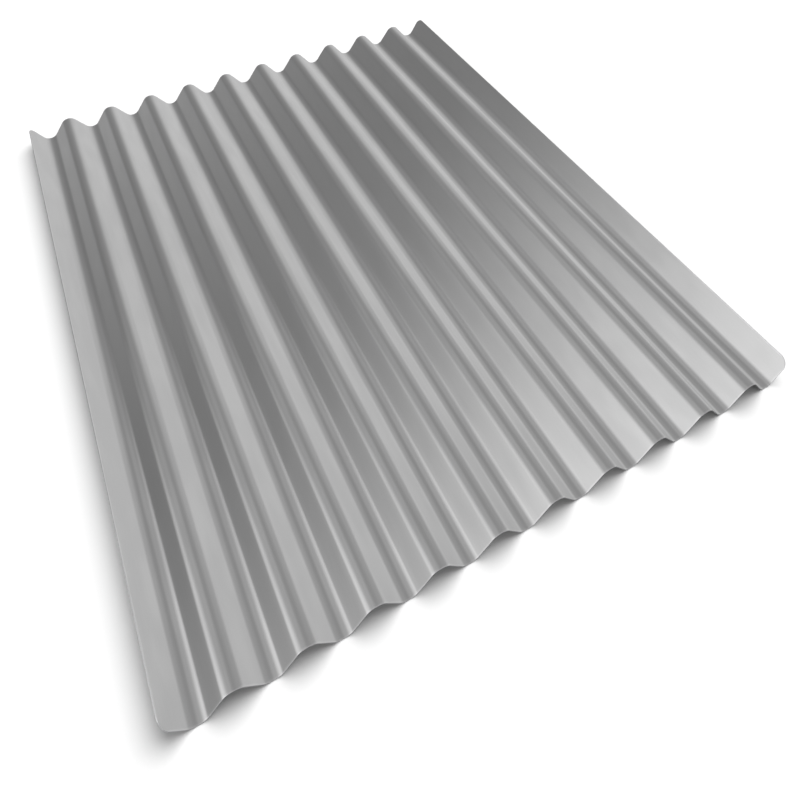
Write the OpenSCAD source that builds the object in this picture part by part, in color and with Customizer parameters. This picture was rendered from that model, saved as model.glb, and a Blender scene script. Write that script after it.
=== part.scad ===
// Corrugated metal sheet: one piece of bent stock, lying flat with its corrugations along Y.
// Millimetres, +Z up. The origin is the middle of the footprint, at floor level.

/* [Sheet] */
// Length of the sheet along its corrugations
sheet_length = 1000; // [400:10:1800]
// Thickness of the metal
sheet_thickness = 1.2; // [0.6:0.1:2]
// Number of crests across the width, one fewer than the troughs
crest_count = 10; // [2:1:14]

/* [Corrugation] */
// Distance from one crest to the next
wave_pitch = 76; // [64:1:110]
// Height of a crest above a trough, both taken on the same face
wave_depth = 32; // [16:1:38]
// Radius of every crest and trough bend, taken to the middle of the metal
bend_radius = 14; // [6:0.5:18]

/* [Edges] */
// Slope of the two upturned long edges
edge_angle = 58; // [45:1:75]
// Height of the upturned edges above the crests
edge_over = 4; // [-8:1:12]
// Rounding of the four corners of the sheet
corner_radius = 14; // [1:0.5:18]

/* [Hidden] */
$fn = 96;

// Flat steps in each bend, and spare length by which a cutter passes the metal that it trims.
bend_steps = 12;
cut_spare = 2;

// A flank is the straight strip that touches a trough bend at one end and a crest bend at the other.
half_pitch = wave_pitch / 2;
bend_rise = wave_depth - 2 * bend_radius;
flank_angle = atan2(bend_rise, half_pitch) + asin(2 * bend_radius / norm([half_pitch, bend_rise]));

// Bends are numbered from the left, starting and ending at an outer trough.
last_bend = 2 * crest_count;
outer_trough = crest_count * half_pitch;

// Each upturned edge goes on straight from its outer trough's bend, up to its tip.
edge_foot = bend_radius * [sin(edge_angle), 1 - cos(edge_angle)];
edge_top = wave_depth + edge_over;
edge_tip = [outer_trough + edge_foot[0] + (edge_top - edge_foot[1]) / tan(edge_angle), edge_top];

// Direction square to the metal, towards its upper face, where it climbs to the right by an angle.
function upward(slope) = [-sin(slope), cos(slope)];

// Middle line of the metal through one bend, pushed out square to the metal by an offset.
// An even number is a trough, which turns upward, and an odd number is a crest.
function bend_path(i, offset) =
    let (
        turn = i % 2 == 0 ? -1 : 1,
        centre = [i * half_pitch - outer_trough, turn < 0 ? bend_radius : wave_depth - bend_radius],
        start = i == 0 ? -edge_angle : turn * flank_angle,
        end = i == last_bend ? edge_angle : -turn * flank_angle
    )
    [
        for (step = [0 : bend_steps])
            let (slope = start + (end - start) * step / bend_steps)
            centre + (turn * bend_radius + offset) * upward(slope)
    ];

// One face of the metal from the left edge's tip to the right edge's tip.
function face_path(offset) = concat(
    [[-edge_tip[0], edge_tip[1]] + offset * upward(-edge_angle)],
    [for (i = [0 : last_bend]) each bend_path(i, offset)],
    [edge_tip + offset * upward(edge_angle)]
);

function reversed(path) = [for (i = [len(path) - 1 : -1 : 0]) path[i]];

// Outline of the bent metal, seen along the corrugations, standing on y = 0.
module section() {
    translate([0, sheet_thickness / 2])
        polygon(concat(face_path(-sheet_thickness / 2), reversed(face_path(sheet_thickness / 2))));
}

// Waste beside one rounded corner, cut square to the upturned edge at the right front.
module corner_waste() {
    translate([edge_tip[0], -sheet_length / 2, edge_tip[1] + sheet_thickness / 2])
        rotate([0, -edge_angle, 0])
            linear_extrude(height = sheet_thickness + 2 * cut_spare, center = true)
                difference() {
                    translate([-corner_radius, -cut_spare])
                        square(corner_radius + cut_spare);
                    translate([-corner_radius, corner_radius])
                        circle(r = corner_radius);
                }
}

// The sheet, lying on its troughs.
module corrugated_sheet() {
    color([0.72, 0.73, 0.74])
        difference() {
            rotate([90, 0, 0])
                linear_extrude(height = sheet_length, center = true) section();
            for (flip_x = [0, 1], flip_y = [0, 1])
                mirror([flip_x, 0, 0]) mirror([0, flip_y, 0]) corner_waste();
        }
}

corrugated_sheet();
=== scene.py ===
"""Looks of the corrugated metal sheet: one bent sheet of bright zinc-coated steel on a pale studio floor.

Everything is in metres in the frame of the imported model: corrugations along Y, +Z up, floor at z = 0.
"""

from __future__ import annotations

import logging
import math
from dataclasses import dataclass, field
from enum import Enum

import bpy
import numpy as np
from mathutils import Matrix, Vector


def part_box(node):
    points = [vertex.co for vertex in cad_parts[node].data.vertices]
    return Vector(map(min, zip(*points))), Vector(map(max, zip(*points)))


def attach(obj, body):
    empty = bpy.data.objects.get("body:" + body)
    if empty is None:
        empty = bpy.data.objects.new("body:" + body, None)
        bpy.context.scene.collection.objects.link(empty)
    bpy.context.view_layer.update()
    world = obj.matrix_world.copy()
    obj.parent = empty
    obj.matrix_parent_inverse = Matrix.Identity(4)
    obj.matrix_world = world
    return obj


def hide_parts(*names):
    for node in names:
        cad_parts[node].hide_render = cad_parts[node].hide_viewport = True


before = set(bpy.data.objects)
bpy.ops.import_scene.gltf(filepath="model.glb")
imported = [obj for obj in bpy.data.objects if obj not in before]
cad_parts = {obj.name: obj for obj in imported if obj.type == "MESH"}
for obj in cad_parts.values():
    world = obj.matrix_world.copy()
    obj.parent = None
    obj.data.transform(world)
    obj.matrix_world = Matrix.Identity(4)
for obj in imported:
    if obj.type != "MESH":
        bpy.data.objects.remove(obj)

LOG = logging.getLogger("corrugated_sheet")
SHEET_NODE = "corrugated_sheet"
FLAT_PATTERN = "flat_pattern"
EDGE_REACH = "edge_reach"

Socket = bpy.types.NodeSocket
Triple = tuple[float, float, float]


class Face(Enum):
    """A face of the metal, by the material slot of the piece that dresses it."""

    ROLLED = 0
    SHEARED = 1


class SocketKind(Enum):
    """Kinds of socket that the shader groups have, by Blender's name for them."""

    NUMBER = "NodeSocketFloat"
    VECTOR = "NodeSocketVector"


class MixKind(Enum):
    """What a Mix node mixes: Blender's name for it, and the places of its two ends and of its result."""

    NUMBERS = ("FLOAT", 2, 3, 0)
    COLOURS = ("RGBA", 6, 7, 2)


# ---------------------------------------------------------------- wiring


@dataclass
class ShaderBench:
    """A shader tree while it is being wired."""

    tree: bpy.types.NodeTree

    def node(self, kind: str, **settings: object) -> bpy.types.Node:
        """Adds a node.

        Args:
            kind: Blender's type name of the node.
            **settings: Properties of the node to set.

        Returns:
            The new node.
        """
        made = self.tree.nodes.new(kind)
        for name, value in settings.items():
            setattr(made, name, value)
        return made

    def join(self, source: Socket, target: Socket) -> None:
        """Links one socket to another."""
        self.tree.links.new(source, target)

    def feed(self, target: Socket, value: Socket | float | Triple) -> None:
        """Gives a socket its value.

        Args:
            target: The socket.
            value: A socket to link to it, or a plain number or colour to set.
        """
        if isinstance(value, Socket):
            self.join(value, target)
        else:
            target.default_value = (*value, 1.0) if isinstance(value, tuple) else value

    def sum_of(
        self, operation: str, first: Socket | float, second: Socket | float, clamp: bool = False
    ) -> Socket:
        """Does one sum on two values.

        Args:
            operation: Name of the Math node's operation.
            first: First socket or number.
            second: Second socket or number.
            clamp: Whether the result is kept between 0 and 1.

        Returns:
            The socket of the result.
        """
        made = self.node("ShaderNodeMath", operation=operation, use_clamp=clamp)
        self.feed(made.inputs[0], first)
        self.feed(made.inputs[1], second)
        return made.outputs[0]

    def mask_of(
        self, value: Socket, low: Socket | float, high: Socket | float, curve: str = "LINEAR"
    ) -> Socket:
        """Spreads the values between two limits over 0 to 1.

        Args:
            value: The value.
            low: Value that gives 0.
            high: Value that gives 1.
            curve: Blender's name for how it goes between them.

        Returns:
            The socket of the mask.
        """
        made = self.node("ShaderNodeMapRange", interpolation_type=curve)
        self.join(value, made.inputs["Value"])
        self.feed(made.inputs["From Min"], low)
        self.feed(made.inputs["From Max"], high)
        return made.outputs[0]

    def spread(self, mask: Socket, low: float, high: float) -> Socket:
        """Turns a mask into a value.

        Args:
            mask: A mask from 0 to 1.
            low: The value where the mask is 0.
            high: The value where the mask is 1.

        Returns:
            The socket of the value.
        """
        made = self.node("ShaderNodeMapRange")
        self.join(mask, made.inputs["Value"])
        self.feed(made.inputs["To Min"], low)
        self.feed(made.inputs["To Max"], high)
        return made.outputs[0]

    def mix(
        self,
        kind: MixKind,
        share: Socket | float,
        first: Socket | Triple,
        second: Socket | Triple,
        blend: str = "MIX",
    ) -> Socket:
        """Mixes two numbers or two colours.

        Args:
            kind: What is mixed.
            share: How much of the second there is, from 0 to 1.
            first: The first, as a socket or a colour.
            second: The second, as a socket or a colour.
            blend: Blender's name for the way they are blended.

        Returns:
            The socket of the result.
        """
        data_type, first_place, second_place, result_place = kind.value
        made = self.node("ShaderNodeMix", data_type=data_type, blend_type=blend)
        self.feed(made.inputs[0], share)
        self.feed(made.inputs[first_place], first)
        self.feed(made.inputs[second_place], second)
        return made.outputs[result_place]

    def noise(self, place: Socket, scale: Socket | float, detail: float, space: str = "2D") -> Socket:
        """Adds a noise field.

        Args:
            place: Where the field is read.
            scale: How many of its cells there are to a metre.
            detail: How many times finer noise is added to it.
            space: Blender's name for its number of dimensions.

        Returns:
            The socket of its value, about 0.5 on average.
        """
        made = self.node("ShaderNodeTexNoise", noise_dimensions=space)
        made.inputs["Detail"].default_value = detail
        self.join(place, made.inputs["Vector"])
        self.feed(made.inputs["Scale"], scale)
        return made.outputs[0]

    def stretched(self, place: Socket, across: Socket | float, along: Socket | float) -> Socket:
        """Multiplies a place on the flat sheet by one factor across it and by another along it.

        Args:
            place: The place.
            across: Factor across the corrugations.
            along: Factor along the corrugations.

        Returns:
            The socket of the new place.
        """
        factors = self.node("ShaderNodeCombineXYZ")
        self.feed(factors.inputs[0], across)
        self.feed(factors.inputs[1], along)
        made = self.node("ShaderNodeVectorMath", operation="MULTIPLY")
        self.join(place, made.inputs[0])
        self.join(factors.outputs[0], made.inputs[1])
        return made.outputs[0]

    def bump(self, height: Socket, lift: float, strength: float, under: Socket | None = None) -> Socket:
        """Turns a height into a bumped normal.

        Args:
            height: The height, from 0 to 1.
            lift: How far a height of 1 stands up, in metres.
            strength: Share of the bump that shows.
            under: A normal that is bumped already, to which this is added.

        Returns:
            The socket of the normal.
        """
        made = self.node("ShaderNodeBump")
        made.inputs["Strength"].default_value = strength
        made.inputs["Distance"].default_value = lift
        self.join(height, made.inputs["Height"])
        if under is not None:
            self.join(under, made.inputs["Normal"])
        return made.outputs[0]

    def effect(self, group: bpy.types.NodeTree, **values: float) -> bpy.types.Node:
        """Places a shader group with its own values.

        Args:
            group: The group.
            **values: Number inputs, with an underscore for a space in the socket's name.

        Returns:
            The group's node.
        """
        made = self.node("ShaderNodeGroup", node_tree=group)
        for name, value in values.items():
            made.inputs[name.replace("_", " ")].default_value = value
        return made


@dataclass
class GroupDraft(ShaderBench):
    """A shader group being drawn: its tree, its named sockets and its two end nodes."""

    tree: bpy.types.NodeTree = field(init=False)
    name: str
    inputs: dict[str, tuple[SocketKind, float]]
    outputs: tuple[str, ...]
    entry: bpy.types.Node = field(init=False)
    exit: bpy.types.Node = field(init=False)

    def __post_init__(self) -> None:
        """Makes the empty tree with its sockets and its end nodes."""
        self.tree = bpy.data.node_groups.new(self.name, "ShaderNodeTree")
        for name, (kind, value) in self.inputs.items():
            socket = self.tree.interface.new_socket(name, in_out="INPUT", socket_type=kind.value)
            if kind is SocketKind.NUMBER:
                socket.default_value = value
        for name in self.outputs:
            self.tree.interface.new_socket(name, in_out="OUTPUT", socket_type=SocketKind.NUMBER.value)
        self.entry = self.node("NodeGroupInput")
        self.exit = self.node("NodeGroupOutput")

    def one_over(self, name: str) -> Socket:
        """One divided by the group's input of that name."""
        return self.sum_of("DIVIDE", 1.0, self.entry.outputs[name])


# ---------------------------------------------------------------- shader groups


def rolling_grain_group() -> bpy.types.NodeTree:
    """Fine grain that rolling leaves in sheet metal.

    A noise field is squeezed across the rolling direction and drawn out along it, so its cells become
    short hairlines that run with the corrugations. A second, even noise adds the speckle of the coating.

    Returns:
        The group, which gives a Mask from 0 to 1 and a Height for a bump.
    """
    faint_noise, strong_noise = 0.3, 0.7
    draft = GroupDraft(
        "rolling_grain",
        {
            "Pattern": (SocketKind.VECTOR, 0.0),
            "Line Width": (SocketKind.NUMBER, 0.0008),
            "Line Length": (SocketKind.NUMBER, 0.03),
            "Speckle Size": (SocketKind.NUMBER, 0.0012),
            "Speckle Share": (SocketKind.NUMBER, 0.5),
        },
        ("Mask", "Height"),
    )
    entry = draft.entry.outputs
    drawn = draft.stretched(entry["Pattern"], draft.one_over("Line Width"), draft.one_over("Line Length"))
    lines = draft.noise(drawn, scale=1.0, detail=3.0)
    speckle = draft.noise(entry["Pattern"], draft.one_over("Speckle Size"), detail=1.0)
    grain = draft.mix(MixKind.NUMBERS, entry["Speckle Share"], lines, speckle)
    draft.join(draft.mask_of(grain, faint_noise, strong_noise), draft.exit.inputs["Mask"])
    draft.join(grain, draft.exit.inputs["Height"])
    return draft.tree


def cloudiness_group() -> bpy.types.NodeTree:
    """Broad soft patches in which a zinc coating is a little duller or brighter.

    Two noise fields of different size, drawn out along the sheet, are averaged and spread to 0 to 1.

    Returns:
        The group, which gives a Mask from 0 to 1.
    """
    dull_noise, bright_noise = 0.36, 0.64
    times_finer = 3.7
    draft = GroupDraft(
        "coating_cloudiness",
        {
            "Pattern": (SocketKind.VECTOR, 0.0),
            "Patch Size": (SocketKind.NUMBER, 0.09),
            "Draw Out": (SocketKind.NUMBER, 3.0),
        },
        ("Mask",),
    )
    drawn = draft.stretched(draft.entry.outputs["Pattern"], 1.0, draft.one_over("Draw Out"))
    scale = draft.one_over("Patch Size")
    broad = draft.noise(drawn, scale, detail=2.0)
    finer = draft.noise(drawn, draft.sum_of("MULTIPLY", scale, times_finer), detail=1.0)
    average = draft.sum_of("MULTIPLY", draft.sum_of("ADD", broad, finer), 0.5)
    mask = draft.mask_of(average, dull_noise, bright_noise, curve="SMOOTHSTEP")
    draft.join(mask, draft.exit.inputs["Mask"])
    return draft.tree


def edge_wear_and_highlight_group() -> bpy.types.NodeTree:
    """Lighter strip beside a cut edge: partly burnish that handling leaves, partly a painted highlight that
    makes the edge read as a bright line.

    The mask is full at the edge and fades out over the strip's width, which a noise field makes uneven.

    Returns:
        The group, which gives a Mask from 0 to 1.
    """
    least_width = 1e-5
    draft = GroupDraft(
        "edge_wear_and_highlight",
        {
            "Reach": (SocketKind.NUMBER, 0.0),
            "Pattern": (SocketKind.VECTOR, 0.0),
            "Width": (SocketKind.NUMBER, 0.002),
            "Patch Size": (SocketKind.NUMBER, 0.012),
        },
        ("Mask",),
    )
    entry = draft.entry.outputs
    unevenness = draft.noise(entry["Pattern"], draft.one_over("Patch Size"), detail=2.0)
    width = draft.sum_of("MULTIPLY", entry["Width"], draft.sum_of("MULTIPLY", unevenness, 2.0))
    share = draft.sum_of("DIVIDE", entry["Reach"], draft.sum_of("MAXIMUM", width, least_width), clamp=True)
    draft.join(draft.sum_of("SUBTRACT", 1.0, share), draft.exit.inputs["Mask"])
    return draft.tree


def soft_panel_group() -> bpy.types.NodeTree:
    """One soft light panel of the studio dome.

    The cosine of the angle between a direction and the panel's own is spread smoothly from 0 at the
    panel's rim to 1 at its heart, and multiplied by its brightness.

    Returns:
        The group, which gives the panel's Light in a direction.
    """
    heart_cosine = 1.0
    draft = GroupDraft(
        "soft_panel",
        {
            "Direction": (SocketKind.VECTOR, 0.0),
            "Facing": (SocketKind.VECTOR, 0.0),
            "Rim Cosine": (SocketKind.NUMBER, 0.5),
            "Brightness": (SocketKind.NUMBER, 1.0),
        },
        ("Light",),
    )
    entry = draft.entry.outputs
    cosine = draft.node("ShaderNodeVectorMath", operation="DOT_PRODUCT")
    draft.join(entry["Direction"], cosine.inputs[0])
    draft.join(entry["Facing"], cosine.inputs[1])
    fade = draft.mask_of(cosine.outputs["Value"], entry["Rim Cosine"], heart_cosine, curve="SMOOTHSTEP")
    draft.join(draft.sum_of("MULTIPLY", fade, entry["Brightness"]), draft.exit.inputs["Light"])
    return draft.tree


@dataclass
class EffectShelf:
    """The shader groups, each built once."""

    grain: bpy.types.NodeTree = field(default_factory=rolling_grain_group)
    clouds: bpy.types.NodeTree = field(default_factory=cloudiness_group)
    wear_and_highlight: bpy.types.NodeTree = field(default_factory=edge_wear_and_highlight_group)
    panel: bpy.types.NodeTree = field(default_factory=soft_panel_group)


# ---------------------------------------------------------------- finishes


def principled(name: str, metallic: float) -> tuple[bpy.types.Material, ShaderBench, bpy.types.Node]:
    """Makes a material with one Principled shader.

    Args:
        name: Name of the material.
        metallic: 1 for a metal, 0 for anything else.

    Returns:
        The material, the bench to wire it on, and its shader.
    """
    material = bpy.data.materials.new(name)
    material.use_nodes = True
    material.node_tree.nodes.clear()
    bench = ShaderBench(material.node_tree)
    shader = bench.node("ShaderNodeBsdfPrincipled")
    shader.inputs["Metallic"].default_value = metallic
    output = bench.node("ShaderNodeOutputMaterial")
    bench.join(shader.outputs[0], output.inputs["Surface"])
    return material, bench, shader


@dataclass(frozen=True)
class ZincSheetFinish:
    """Smooth satin face of zinc-coated steel sheet."""

    name: str = "satin_zinc_sheet"
    colour: Triple = (0.61, 0.61, 0.61)
    dull_colour: Triple = (0.585, 0.585, 0.586)
    # Lighter colour for the strip beside the cut edges: partly handling wear, partly a painted highlight
    # along the edge.
    burnish_and_highlight: Triple = (0.72, 0.72, 0.722)
    grain_shade: float = 0.95
    gloss_roughness: float = 0.29
    dull_roughness: float = 0.32
    grain_lift: float = 0.00002
    grain_strength: float = 0.35
    ripple_lift: float = 0.0001
    ripple_strength: float = 0.5

    def material(self, shelf: EffectShelf) -> bpy.types.Material:
        """Builds the material.

        Args:
            shelf: The shader groups.

        Returns:
            The material.
        """
        material, bench, shader = principled(self.name, metallic=1.0)
        flat = bench.node("ShaderNodeUVMap", uv_map=FLAT_PATTERN)
        reach = bench.node("ShaderNodeAttribute", attribute_name=EDGE_REACH)
        grain = bench.effect(shelf.grain)
        clouds = bench.effect(shelf.clouds)
        wear_and_highlight = bench.effect(shelf.wear_and_highlight)
        for effect in (grain, clouds, wear_and_highlight):
            bench.join(flat.outputs[0], effect.inputs["Pattern"])
        bench.join(reach.outputs["Fac"], wear_and_highlight.inputs["Reach"])

        cloudy = bench.mix(MixKind.COLOURS, clouds.outputs["Mask"], self.dull_colour, self.colour)
        shade = bench.spread(grain.outputs["Mask"], self.grain_shade, 1.0)
        grained = bench.mix(MixKind.COLOURS, 1.0, cloudy, shade, blend="MULTIPLY")
        # Beside the cut edges the colour turns lighter: partly handling wear, partly a painted highlight
        # along the edge.
        worn_and_highlighted = bench.mix(MixKind.COLOURS, wear_and_highlight.outputs["Mask"], grained, self.burnish_and_highlight)
        bench.join(worn_and_highlighted, shader.inputs["Base Color"])
        roughness = bench.spread(clouds.outputs["Mask"], self.dull_roughness, self.gloss_roughness)
        bench.join(roughness, shader.inputs["Roughness"])

        fine = bench.bump(grain.outputs["Height"], self.grain_lift, self.grain_strength)
        broad = bench.bump(clouds.outputs["Mask"], self.ripple_lift, self.ripple_strength, under=fine)
        bench.join(broad, shader.inputs["Normal"])
        return material


@dataclass(frozen=True)
class ShearedEdgeFinish:
    """Bare steel of a sheared edge, with fine marks of the blade across it; its light colour is partly the
    bare steel and partly a painted highlight along the cut edge.
    """

    name: str = "sheared_edge_steel_and_highlight"
    # This light colour is partly bare sheared steel and partly a painted highlight along the cut edge.
    colour: Triple = (0.78, 0.78, 0.785)
    smeared_colour: Triple = (0.64, 0.64, 0.65)
    roughness: float = 0.30
    smeared_roughness: float = 0.44
    mark_size: float = 0.0006
    speckle_size: float = 0.0004
    mark_lift: float = 0.00003
    mark_strength: float = 0.5

    def material(self, shelf: EffectShelf) -> bpy.types.Material:
        """Builds the material.

        Args:
            shelf: The shader groups.

        Returns:
            The material.
        """
        material, bench, shader = principled(self.name, metallic=1.0)
        flat = bench.node("ShaderNodeUVMap", uv_map=FLAT_PATTERN)
        marks = bench.effect(
            shelf.grain,
            Line_Width=self.mark_size,
            Line_Length=self.mark_size,
            Speckle_Size=self.speckle_size,
        )
        bench.join(flat.outputs[0], marks.inputs["Pattern"])
        mask = marks.outputs["Mask"]
        colour = bench.mix(MixKind.COLOURS, mask, self.smeared_colour, self.colour)
        bench.join(colour, shader.inputs["Base Color"])
        bench.join(bench.spread(mask, self.smeared_roughness, self.roughness), shader.inputs["Roughness"])
        bumped = bench.bump(marks.outputs["Height"], self.mark_lift, self.mark_strength)
        bench.join(bumped, shader.inputs["Normal"])
        return material


@dataclass(frozen=True)
class StudioFloorFinish:
    """Matt white studio paper."""

    name: str = "studio_paper"
    colour: Triple = (0.87, 0.87, 0.87)
    fibre_colour: Triple = (0.85, 0.85, 0.85)
    fibres_to_metre: float = 320.0
    roughness: float = 0.9
    specular_level: float = 0.1

    def material(self) -> bpy.types.Material:
        """Builds the material.

        Returns:
            The material.
        """
        material, bench, shader = principled(self.name, metallic=0.0)
        place = bench.node("ShaderNodeTexCoord")
        fibre = bench.noise(place.outputs["Object"], self.fibres_to_metre, detail=2.0, space="3D")
        colour = bench.mix(MixKind.COLOURS, fibre, self.fibre_colour, self.colour)
        bench.join(colour, shader.inputs["Base Color"])
        shader.inputs["Roughness"].default_value = self.roughness
        shader.inputs["Specular IOR Level"].default_value = self.specular_level
        return material


# ---------------------------------------------------------------- the sheet


@dataclass
class BentLine:
    """Middle line of the metal, seen along the corrugations, as a chain of straight and round stretches.

    Every stretch has one curvature, so the slope changes evenly along it. Trough and crest bends take
    turns, with a straight flank between each two, and a straight upturned edge goes on from either end.
    """

    pitch: float = 0.076
    depth: float = 0.032
    bend_radius: float = 0.014
    edge_slope: float = math.radians(58.0)
    edge_over: float = 0.004
    crests: int = 10
    slopes: np.ndarray = field(init=False)
    knots: np.ndarray = field(init=False)
    starts: np.ndarray = field(init=False)

    def __post_init__(self) -> None:
        """Works out the knots: arc length, slope and place where each stretch starts."""
        half = self.pitch / 2
        rise = self.depth - 2 * self.bend_radius
        flank_slope = math.atan2(rise, half) + math.asin(2 * self.bend_radius / math.hypot(half, rise))
        flank = math.sqrt(half**2 + rise**2 - 4 * self.bend_radius**2)
        edge_foot = self.bend_radius * (1 - math.cos(self.edge_slope))
        edge = (self.depth + self.edge_over - edge_foot) / math.sin(self.edge_slope)

        # A slope at both ends of every flank: up the flank to a crest, down the flank to a trough.
        climbs = flank_slope * np.where(np.arange(2 * self.crests) % 2 == 0, 1.0, -1.0)
        self.slopes = np.concatenate(
            [[-self.edge_slope] * 2, np.repeat(climbs, 2), [self.edge_slope] * 2]
        )
        turns = np.diff(self.slopes)
        runs = np.empty(turns.size)
        runs[0::2] = flank
        runs[[0, -1]] = edge
        runs[1::2] = self.bend_radius * np.abs(turns[1::2])
        self.knots = np.concatenate([[0.0], np.cumsum(runs)])
        steps = self.chords(runs, self.slopes[:-1], turns)
        self.starts = np.concatenate([[(0.0, 0.0)], np.cumsum(steps, axis=0)])
        # The middle of the width is x = 0, and the troughs lie at height 0.
        self.starts -= (self.starts[-1, 0] / 2, -(self.depth + self.edge_over))

    @staticmethod
    def chords(run: np.ndarray, slope: np.ndarray, turn: np.ndarray) -> np.ndarray:
        """Steps from one end of a stretch to the other, or to a point on it.

        The slope turns evenly, so the chord is the arc times the sine of half the turn over half the
        turn, and points along the slope half way through that turn.

        Args:
            run: Arc length of each stretch.
            slope: Slope at its start.
            turn: How far the slope turns along it.

        Returns:
            The steps in x and in height, by 2.
        """
        reach = run * np.sinc(turn / (2 * np.pi))
        heading = slope + turn / 2
        return np.stack([reach * np.cos(heading), reach * np.sin(heading)], axis=-1)

    @property
    def length(self) -> float:
        """Whole length of the line, which is the width of the flat sheet before it was bent."""
        return float(self.knots[-1])

    def stations(self, bend_steps: int, flank_steps: int) -> np.ndarray:
        """Arc lengths at which the sheet is divided.

        Args:
            bend_steps: Divisions of each bend.
            flank_steps: Divisions of each flank and upturned edge.

        Returns:
            The arc lengths in order, with both ends.
        """
        steps = np.where(np.arange(self.knots.size - 1) % 2 == 1, bend_steps, flank_steps)
        share = np.concatenate([np.arange(count) / count for count in steps])
        which = np.repeat(np.arange(steps.size), steps)
        spots = self.knots[which] + share * np.diff(self.knots)[which]
        return np.append(spots, self.length)

    def at(self, spots: np.ndarray) -> tuple[np.ndarray, np.ndarray, np.ndarray]:
        """Place and slope of the line at given arc lengths, each a chord on from its stretch's start.

        Args:
            spots: Arc lengths from the left tip.

        Returns:
            Arrays of x, of height above the troughs, and of slope in radians.
        """
        which = np.clip(np.searchsorted(self.knots, spots, side="right") - 1, 0, self.knots.size - 2)
        slope = np.interp(spots, self.knots, self.slopes)
        foot = self.slopes[which]
        places = self.starts[which] + self.chords(spots - self.knots[which], foot, slope - foot)
        return places[:, 0], places[:, 1], slope


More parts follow.
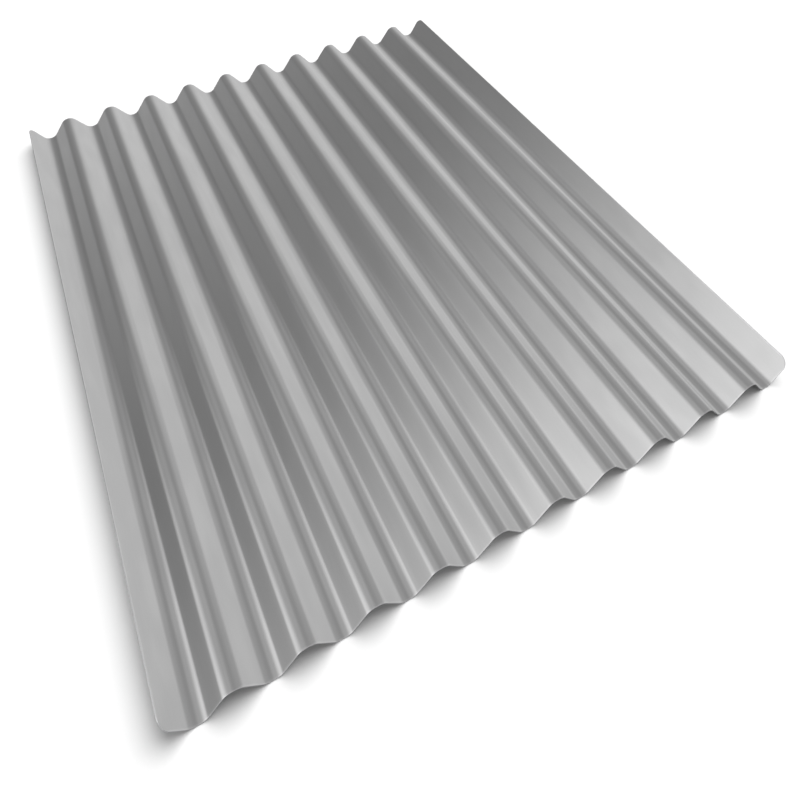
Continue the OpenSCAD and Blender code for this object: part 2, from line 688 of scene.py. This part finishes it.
@dataclass
class CorrugatedSheet:
    """The whole part: one sheet with rolled faces, a sheared rim and four rounded corners."""

    low: Vector
    high: Vector
    line: BentLine = field(default_factory=BentLine)
    thickness: float = 0.0012
    corner_radius: float = 0.014
    corner_margin: float = 1.15
    rim_radius: float = 0.00022
    bend_steps: int = 20
    flank_steps: int = 4
    corner_steps: int = 16
    rim_steps: int = 3
    row_count: int = 41
    inner_share: float = 0.96
    end_shares: tuple[float, ...] = (0.0, 0.0004, 0.0015, 0.005, 0.015)
    rolled: ZincSheetFinish = field(default_factory=ZincSheetFinish)
    sheared: ShearedEdgeFinish = field(default_factory=ShearedEdgeFinish)

    @property
    def half_length(self) -> float:
        """Half the length of the sheet along its corrugations."""
        return (self.high[1] - self.low[1]) / 2

    def rows(self) -> np.ndarray:
        """Shares of the half length at which rows of points lie, closer together beside the ends.

        Returns:
            The shares in order, from -1 to 1.
        """
        beside_end = 1 - np.array(self.end_shares)
        inner = np.linspace(-self.inner_share, self.inner_share, self.row_count)
        return np.concatenate([-beside_end, inner, beside_end[::-1]])

    def outline(self, inset: float) -> tuple[np.ndarray, np.ndarray]:
        """The flat sheet's outline, drawn in by an inset, as its half length at each arc length.

        Each corner is a quarter circle: at an angle from the side, the arc length is the corner's radius
        less the drawn-in radius times the cosine, and the half length grows with the sine. The section's
        own stations begin a margin further in, counted in corner radii.

        Args:
            inset: How far inside the true outline it lies.

        Returns:
            Arrays of arc length across the sheet, and of half length there.
        """
        angle = np.linspace(0.0, np.pi / 2, self.corner_steps + 1)
        corner = self.corner_radius - (self.corner_radius - inset) * np.cos(angle)
        corner_reach = self.half_length - self.corner_radius + (self.corner_radius - inset) * np.sin(angle)
        spots = self.line.stations(self.bend_steps, self.flank_steps)
        margin = self.corner_margin * self.corner_radius
        middle = spots[(spots > margin) & (spots < self.line.length - margin)]
        across = np.concatenate([corner, middle, self.line.length - corner[::-1]])
        reach = np.concatenate(
            [corner_reach, np.full(middle.size, self.half_length - inset), corner_reach[::-1]]
        )
        return across, reach

    def layer(self, inset: float, offset: float) -> tuple[np.ndarray, np.ndarray]:
        """A grid of points on the bent sheet, drawn in from its outline and off its middle.

        A point stands off the middle line square to the metal: against the sine of the slope in x and
        with the cosine in height.

        Args:
            inset: How far inside the true outline the grid ends.
            offset: How far above the middle of the metal it lies.

        Returns:
            The points, as rows by columns by 3, and their places on the flat sheet, by 2.
        """
        across, reach = self.outline(inset)
        x, height, slope = self.line.at(across)
        y = self.rows()[:, None] * reach
        centre = (self.low + self.high) / 2
        middle_height = self.low[2] + self.thickness / 2
        points = np.stack(
            [
                np.broadcast_to(centre[0] + x - offset * np.sin(slope), y.shape),
                centre[1] + y,
                np.broadcast_to(middle_height + height + offset * np.cos(slope), y.shape),
            ],
            axis=-1,
        )
        flat = np.stack([np.broadcast_to(across, y.shape), y + self.half_length], axis=-1)
        return points, flat

    def rim_profile(self) -> tuple[np.ndarray, np.ndarray]:
        """Insets and offsets of the loops round the rim, from the upper face's side to the lower's.

        A quarter circle rounds each arris: its inset is the rim's radius less the radius times the sine
        of an angle, and its offset falls from the face by the radius less the radius times the cosine.

        Returns:
            Arrays of inset and of offset, one value for each loop.
        """
        angle = np.linspace(0.0, np.pi / 2, self.rim_steps + 1)[1:]
        inset = self.rim_radius * (1 - np.sin(angle))
        offset = self.thickness / 2 - self.rim_radius * (1 - np.cos(angle))
        return np.concatenate([inset, inset[::-1]]), np.concatenate([offset, -offset[::-1]])

    def build(self) -> bpy.types.Object:
        """Builds the closed sheet: two faces, and the rim's loops between their borders.

        Returns:
            The piece, undressed.
        """
        half = self.thickness / 2
        upper, flat = self.layer(self.rim_radius, half)
        lower, _ = self.layer(self.rim_radius, -half)
        rows, columns = flat.shape[:2]
        grid = np.arange(rows * columns).reshape(rows, columns)
        border = np.concatenate([grid[0], grid[1:, -1], grid[-1, -2::-1], grid[-2:0:-1, 0]])

        points, places = [upper.reshape(-1, 3)], [flat.reshape(-1, 2)]
        loops = [border]
        for inset, offset in zip(*self.rim_profile()):
            ring, ring_flat = self.layer(inset, offset)
            loops.append(sum(len(block) for block in points) + np.arange(border.size))
            points.append(ring.reshape(-1, 3)[border])
            places.append(ring_flat.reshape(-1, 2)[border])
        lower_start = sum(len(block) for block in points)
        points.append(lower.reshape(-1, 3))
        places.append(flat.reshape(-1, 2))
        loops.append(lower_start + border)

        top = grid_quads(grid)
        rim = np.concatenate([band_quads(under, over) for over, under in zip(loops[:-1], loops[1:])])
        quads = np.concatenate([top, rim, lower_start + top[:, ::-1]])
        slots = np.full(len(quads), Face.ROLLED.value)
        slots[len(top) : len(top) + len(rim)] = Face.SHEARED.value
        flat_places = np.concatenate(places)
        piece = quad_piece("sheet", np.concatenate(points), quads, slots, flat_places)
        self.note_reach(piece, flat_places)
        return piece

    def note_reach(self, piece: bpy.types.Object, places: np.ndarray) -> None:
        """Stores how far each point lies from the nearest edge of the flat sheet.

        Args:
            piece: The sheet.
            places: Each point's place on the flat sheet.
        """
        size = np.array([self.line.length, 2 * self.half_length])
        reach = np.minimum(places, size - places).min(axis=1)
        stored = piece.data.attributes.new(EDGE_REACH, "FLOAT", "POINT")
        stored.data.foreach_set("value", np.maximum(reach, 0.0).astype(np.float32))

    def install(self, shelf: EffectShelf) -> bpy.types.Object:
        """Builds the sheet, dresses it in the order of its slots, and puts it in its CAD node's place.

        Args:
            shelf: The shader groups.

        Returns:
            The finished piece.
        """
        piece = self.build()
        for finish in (self.rolled, self.sheared):
            piece.data.materials.append(finish.material(shelf))
        piece.visible_glossy = False
        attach(piece, "root")
        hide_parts(SHEET_NODE)
        LOG.info("%s: %d points, %d faces", piece.name, len(piece.data.vertices), len(piece.data.polygons))
        return piece


def grid_quads(grid: np.ndarray) -> np.ndarray:
    """Faces of a grid of point numbers, one to a cell, each seen from above in turn to the left."""
    return np.stack([grid[:-1, :-1], grid[:-1, 1:], grid[1:, 1:], grid[1:, :-1]], -1).reshape(-1, 4)


def band_quads(under: np.ndarray, over: np.ndarray) -> np.ndarray:
    """Faces of the closed band between two loops of point numbers, one loop under the other."""
    return np.stack([under, np.roll(under, -1), np.roll(over, -1), over], -1)


def quad_piece(
    name: str, points: np.ndarray, quads: np.ndarray, slots: np.ndarray, places: np.ndarray
) -> bpy.types.Object:
    """Makes a smooth-shaded object from four-sided faces.

    Args:
        name: Name of the object.
        points: Its points, by 3.
        quads: Point numbers of its faces, by 4, seen from outside in turn to the left.
        slots: Material slot of each face.
        places: Each point's place on the flat sheet, by 2.

    Returns:
        The object, in the scene.
    """
    mesh = bpy.data.meshes.new(name)
    mesh.vertices.add(len(points))
    mesh.vertices.foreach_set("co", points.astype(np.float32).ravel())
    mesh.loops.add(quads.size)
    mesh.loops.foreach_set("vertex_index", quads.astype(np.int32).ravel())
    mesh.polygons.add(len(quads))
    mesh.polygons.foreach_set("loop_start", np.arange(0, quads.size, 4, dtype=np.int32))
    mesh.polygons.foreach_set("material_index", slots.astype(np.int32))
    mesh.polygons.foreach_set("use_smooth", np.ones(len(quads), dtype=bool))
    pattern = mesh.uv_layers.new(name=FLAT_PATTERN)
    pattern.uv.foreach_set("vector", places[quads.ravel()].astype(np.float32).ravel())
    mesh.update(calc_edges=True)
    mesh.validate()
    piece = bpy.data.objects.new(name, mesh)
    bpy.context.scene.collection.objects.link(piece)
    return piece


# ---------------------------------------------------------------- studio and camera


def direction(heading: float, height: float) -> Triple:
    """Direction from the sheet to a light.

    It is the sine and the cosine of the heading in x and y, both times the cosine of the height, and
    the sine of the height in z.

    Args:
        heading: Degrees from +Y, to the right.
        height: Degrees above level.

    Returns:
        A vector of length 1.
    """
    turn, climb = math.radians(heading), math.radians(height)
    return (math.sin(turn) * math.cos(climb), math.cos(turn) * math.cos(climb), math.sin(climb))


@dataclass(frozen=True)
class SoftPanel:
    """A soft light panel of the dome, by the heading and height of its heart and its half angle."""

    name: str
    heading: float
    height: float
    half_angle: float
    brightness: float

    def place(self, bench: ShaderBench, shelf: EffectShelf, seen_along: Socket) -> Socket:
        """Places the panel in the dome.

        Args:
            bench: The dome's bench.
            shelf: The shader groups.
            seen_along: Direction in which the dome is seen.

        Returns:
            The socket of the panel's light.
        """
        rim_cosine = math.cos(math.radians(self.half_angle))
        lamp = bench.effect(shelf.panel, Rim_Cosine=rim_cosine, Brightness=self.brightness)
        lamp.label = self.name
        lamp.inputs["Facing"].default_value = direction(self.heading, self.height)
        bench.join(seen_along, lamp.inputs["Direction"])
        return lamp.outputs["Light"]


@dataclass
class Studio:
    """White paper floor, a pale dome with soft panels, and one broad key light that casts the shadows."""

    centre: Vector
    floor_height: float
    floor_half: float = 60.0
    dome_light: float = 0.20
    fill_light: float = 0.50
    key_strength: float = 2.9
    key_spread: float = 60.0
    key_heading: float = 60.0
    key_height: float = 62.0
    paper: StudioFloorFinish = field(default_factory=StudioFloorFinish)
    panels: tuple[SoftPanel, ...] = (
        SoftPanel("left_wall", -85.0, 20.0, 35.0, 0.9),
        SoftPanel("left_sweep", -110.0, 0.0, 55.0, 0.5),
        SoftPanel("left_top", -60.0, 60.0, 35.0, 0.4),
        SoftPanel("right_top", 50.0, 60.0, 45.0, 0.2),
        SoftPanel("far_sweep", 10.0, 0.0, 55.0, 0.3),
        SoftPanel("right_sweep", 45.0, 0.0, 55.0, 0.4),
        SoftPanel("near_sweep", 150.0, 30.0, 70.0, 0.4),
        SoftPanel("far_floor", -20.0, -20.0, 35.0, 0.3),
        SoftPanel("right_floor", 80.0, -20.0, 40.0, 0.3),
        SoftPanel("near_floor", 180.0, -30.0, 60.0, 0.3),
        SoftPanel("floor_below", 20.0, -60.0, 35.0, 1.0),
    )

    def lay_floor(self) -> None:
        """Lays the paper level with the sheet's rest."""
        half = self.floor_half
        corners = np.array([(-half, -half), (half, -half), (half, half), (-half, half)])
        points = np.column_stack([corners, np.full(4, self.floor_height)])
        mesh = bpy.data.meshes.new("studio_floor")
        mesh.from_pydata(points.tolist(), [], [(0, 1, 2, 3)])
        mesh.materials.append(self.paper.material())
        floor = bpy.data.objects.new("studio_floor", mesh)
        floor.visible_glossy = False
        bpy.context.scene.collection.objects.link(floor)

    def panel_light(self, bench: ShaderBench, shelf: EffectShelf) -> Socket:
        """Adds up the even light of the dome and the light of its panels.

        Args:
            bench: The dome's bench.
            shelf: The shader groups.

        Returns:
            The socket of the light in the direction that is seen.
        """
        seen_along = bench.node("ShaderNodeTexCoord").outputs["Generated"]
        light = self.dome_light
        for panel in self.panels:
            light = bench.sum_of("ADD", light, panel.place(bench, shelf, seen_along))
        return light

    def hang_dome(self, shelf: EffectShelf) -> None:
        """Surrounds the scene with the dome, which shows a different light to each kind of ray.

        The camera sees plain white. A reflection sees an even light with the panels' light added to it.
        Any other ray sees one even fill. A reflection that is reached by way of the floor sees nothing,
        so the metal shades the floor under it and passes no light on to it.

        Args:
            shelf: The shader groups.
        """
        world = bpy.data.worlds.new("studio_dome")
        world.use_nodes = True
        bpy.context.scene.world = world
        world.node_tree.nodes.clear()
        bench = ShaderBench(world.node_tree)
        ray = bench.node("ShaderNodeLightPath").outputs
        not_from_floor = bench.sum_of("SUBTRACT", 1.0, ray["Diffuse Depth"], clamp=True)
        reflected = backdrop(bench, self.panel_light(bench, shelf), not_from_floor)
        fill = backdrop(bench, (self.fill_light, self.fill_light, self.fill_light))
        white = backdrop(bench, (1.0, 1.0, 1.0))
        unseen = either(bench, ray["Is Glossy Ray"], fill, reflected)
        shown = either(bench, ray["Is Camera Ray"], unseen, white)
        output = bench.node("ShaderNodeOutputWorld")
        bench.join(shown, output.inputs["Surface"])

    def hang_key(self) -> None:
        """Hangs the key light, so broad and far away that it lights the whole floor evenly."""
        key = bpy.data.lights.new("key_light", "SUN")
        key.angle = math.radians(self.key_spread)
        key.energy = self.key_strength
        lamp = bpy.data.objects.new("key_light", key)
        facing = Vector(direction(self.key_heading, self.key_height))
        turn = (-facing).to_track_quat("-Z", "Y").to_matrix().to_4x4()
        lamp.matrix_world = Matrix.Translation(self.centre + facing) @ turn
        lamp.visible_glossy = False
        bpy.context.scene.collection.objects.link(lamp)

    def set_up(self, shelf: EffectShelf) -> None:
        """Builds the floor, the dome and the key light.

        Args:
            shelf: The shader groups.
        """
        self.lay_floor()
        self.hang_dome(shelf)
        self.hang_key()
        bpy.context.scene.view_settings.view_transform = "Standard"
        LOG.info("studio: floor, dome with %d panels, key light", len(self.panels))


def backdrop(bench: ShaderBench, colour: Socket | Triple, strength: Socket | float = 1.0) -> Socket:
    """Makes a background light.

    Args:
        bench: The dome's bench.
        colour: Its colour.
        strength: What its colour is multiplied by.

    Returns:
        The socket of the light.
    """
    made = bench.node("ShaderNodeBackground")
    bench.feed(made.inputs["Color"], colour)
    bench.feed(made.inputs["Strength"], strength)
    return made.outputs[0]


def either(bench: ShaderBench, which: Socket, where_no: Socket, where_yes: Socket) -> Socket:
    """Chooses between two background lights.

    Args:
        bench: The dome's bench.
        which: 0 for the first and 1 for the second.
        where_no: The first light.
        where_yes: The second light.

    Returns:
        The socket of the one that is chosen.
    """
    made = bench.node("ShaderNodeMixShader")
    for target, source in zip(made.inputs, (which, where_no, where_yes)):
        bench.join(source, target)
    return made.outputs[0]


@dataclass
class Viewpoint:
    """Camera that looks down over the near left corner, along the corrugations and to the right."""

    centre: Vector
    eye_from_centre: Triple = (-0.2969, -0.7762, 0.8764)
    heading: float = 27.19
    downward: float = 38.19
    roll: float = -0.83
    lens: float = 33.79
    sensor: float = 36.0
    rise: float = -0.35
    nearest: float = 0.01
    farthest: float = 200.0

    def set_up(self) -> bpy.types.Object:
        """Makes the camera: it looks ahead, is turned down, then to its heading, and rolled about its axis.

        Returns:
            The camera.
        """
        data = bpy.data.cameras.new("viewpoint")
        data.sensor_width = self.sensor
        data.lens = self.lens
        data.shift_y = self.rise
        data.clip_start = self.nearest
        data.clip_end = self.farthest
        camera = bpy.data.objects.new("viewpoint", data)
        turn = (
            Matrix.Rotation(-math.radians(self.heading), 4, "Z")
            @ Matrix.Rotation(math.radians(90.0 - self.downward), 4, "X")
            @ Matrix.Rotation(math.radians(self.roll), 4, "Z")
        )
        camera.matrix_world = Matrix.Translation(self.centre + Vector(self.eye_from_centre)) @ turn
        bpy.context.scene.collection.objects.link(camera)
        bpy.context.scene.camera = camera
        return camera


def main() -> None:
    """Builds the camera, the sheet and the studio."""
    logging.basicConfig(level=logging.INFO, format="%(name)s: %(message)s")
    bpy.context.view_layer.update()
    low, high = (Vector(corner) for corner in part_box(SHEET_NODE))
    centre = (low + high) / 2
    shelf = EffectShelf()
    Viewpoint(centre).set_up()
    CorrugatedSheet(low, high).install(shelf)
    Studio(centre, low[2]).set_up(shelf)


if __name__ == "__main__":
    main()
